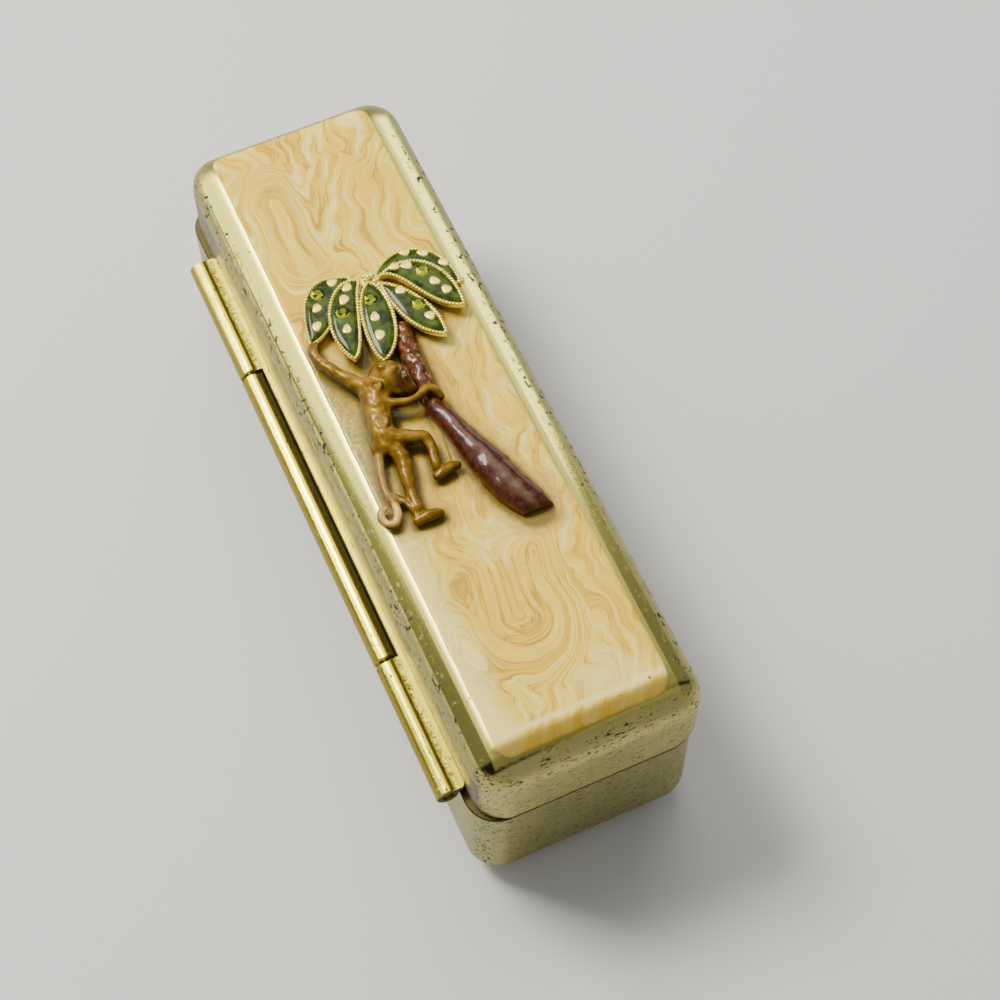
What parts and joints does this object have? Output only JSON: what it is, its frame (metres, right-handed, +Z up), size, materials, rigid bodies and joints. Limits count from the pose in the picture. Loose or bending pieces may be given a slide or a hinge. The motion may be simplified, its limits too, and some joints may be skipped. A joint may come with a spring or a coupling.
{
  "type": "hinged lipstick case",
  "caption": "Long narrow gold-tone hinged box for one lipstick, with a marbled enamel lid that carries an enamelled palm tree and climbing monkey, and a mirror inside the lid.",
  "frame": {"origin": "on the flat underside, midway along the case and across the lid", "axes": "+X along the length, +Y towards the hinge, +Z up through the lid"},
  "size_m": [0.083, 0.0282, 0.0299],
  "materials": {
    "worn_gold": "satin gold-tone plate over brass, worn, pitted and scratched",
    "bright_gold": "polished gold-tone plate",
    "hinge_gold": "polished yellow brass",
    "spring_steel": "blued spring strip",
    "marbled_enamel": "glossy pearl enamel marbled in cream, peach and tan, with pinholes",
    "green_enamel": "glossy translucent dark green enamel",
    "brown_enamel": "glossy translucent red-brown enamel",
    "amber_enamel": "glossy translucent amber enamel over gold",
    "crystal": "faceted yellow-green rhinestone",
    "mirror": "silvered glass",
    "pad": "grey-brown backing card",
    "flock": "short flocking"
  },
  "bodies": {
    "base": {"base_shell": "worn_gold", "base_bezel": "bright_gold", "base_hinge_leaf": "hinge_gold", "hinge_pin": "hinge_gold", "tray_liner": "flock", "catch_rivet_1": "bright_gold", "catch_rivet_2": "bright_gold"},
    "catch": {"catch_spring": "spring_steel"},
    "lid": {"lid_shell": "worn_gold", "lid_enamel": "marbled_enamel", "lid_hinge_leaf": "hinge_gold", "lid_bezel": "bright_gold", "mirror_glass": "mirror", "mirror_pad": "pad", "catch_keeper": "bright_gold", "palm_crown": "bright_gold", "palm_trunk": "brown_enamel", "monkey": "amber_enamel", "frond_enamel_1": "green_enamel", "frond_enamel_2": "green_enamel", "frond_enamel_3": "green_enamel", "frond_enamel_4": "green_enamel", "frond_enamel_5": "green_enamel", "frond_enamel_6": "green_enamel", "crystal_1": "crystal", "crystal_2": "crystal", "crystal_3": "crystal", "crystal_4": "crystal", "crystal_5": "crystal"}
  },
  "joints": [
    {"name": "lid_hinge", "type": "hinge", "parent": "base", "child": "lid", "pos_m": [0, 0.0141, 0.01706], "axis": [-1, 0, 0], "range_deg": [0, 110]},
    {"name": "catch_flex", "type": "hinge", "parent": "base", "child": "catch", "pos_m": [0, -0.0106, 0.01], "axis": [-1, 0, 0], "range_deg": [0, 3], "stiffness_Nm_per_rad": 0.9}
  ]
}
